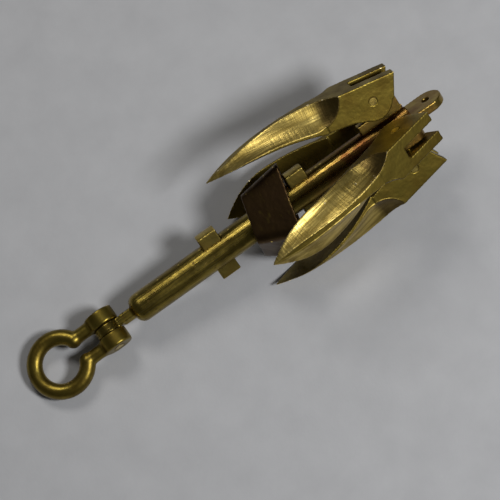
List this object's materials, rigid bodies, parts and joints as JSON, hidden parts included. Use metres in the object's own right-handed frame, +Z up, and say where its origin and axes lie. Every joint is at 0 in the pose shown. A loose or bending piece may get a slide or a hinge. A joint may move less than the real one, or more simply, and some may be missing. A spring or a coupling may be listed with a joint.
{
  "type": "folding grapnel anchor",
  "caption": "Small brass folding grapnel anchor: curved flukes hinged at a crown, a flared collar that slides over lugs on the shank to lock them, a trip eye and a swinging shackle.",
  "frame": {"origin": "on the surface the anchor lies on, under the centre of its bounding box", "axes": "+X along the anchor towards the crown, +Z up from the surface, +Y to the left of +X"},
  "size_m": [0.1962, 0.054, 0.0562],
  "materials": {
    "cast_brass": "cast, worn and lightly tarnished",
    "dark_brass": "dark, tarnished",
    "bright_brass": "filed and rubbed bright"
  },
  "bodies": {
    "shank": {"shank_rod": "cast_brass", "upper_lock_lugs": "bright_brass", "lower_lock_lugs": "bright_brass", "crown_cross_plate": "dark_brass", "crown_eye_plate": "dark_brass"},
    "fluke_1": {"fluke_1": "cast_brass", "fluke_pin_1": "bright_brass"},
    "fluke_2": {"fluke_2": "cast_brass", "fluke_pin_2": "bright_brass"},
    "fluke_3": {"fluke_3": "cast_brass", "fluke_pin_3": "bright_brass"},
    "fluke_4": {"fluke_4": "cast_brass", "fluke_pin_4": "bright_brass"},
    "collar": {"locking_collar": "dark_brass"},
    "shackle": {"shackle_bow": "cast_brass", "shackle_pin": "bright_brass"}
  },
  "joints": [
    {"name": "fluke_1_fold", "type": "hinge", "parent": "shank", "child": "fluke_1", "pos_m": [0.07114, 0.01413, 0.0406], "axis": [0.1205, 0.5959, -0.794], "range_deg": [0, 66]},
    {"name": "fluke_2_fold", "type": "hinge", "parent": "shank", "child": "fluke_2", "pos_m": [0.07061, -0.00993, 0.04412], "axis": [-0.0894, 0.8031, 0.5891], "range_deg": [0, 57.4]},
    {"name": "fluke_3_fold", "type": "hinge", "parent": "shank", "child": "fluke_3", "pos_m": [0.07422, -0.01349, 0.02033], "axis": [-0.1205, -0.5959, 0.794], "range_deg": [0, 66]},
    {"name": "fluke_4_fold", "type": "hinge", "parent": "shank", "child": "fluke_4", "pos_m": [0.07475, 0.01057, 0.01681], "axis": [0.0894, -0.8031, -0.5891], "range_deg": [0, 71.4]},
    {"name": "collar_slide", "type": "slide", "parent": "shank", "child": "collar", "axis": [-0.9887, 0, -0.1501], "range_m": [0, 0.05]},
    {"name": "shackle_swing", "type": "hinge", "parent": "shank", "child": "shackle", "pos_m": [-0.06178, 0.00032, 0.01006], "axis": [0, 1, 0], "range_deg": [-100, 100]}
  ]
}
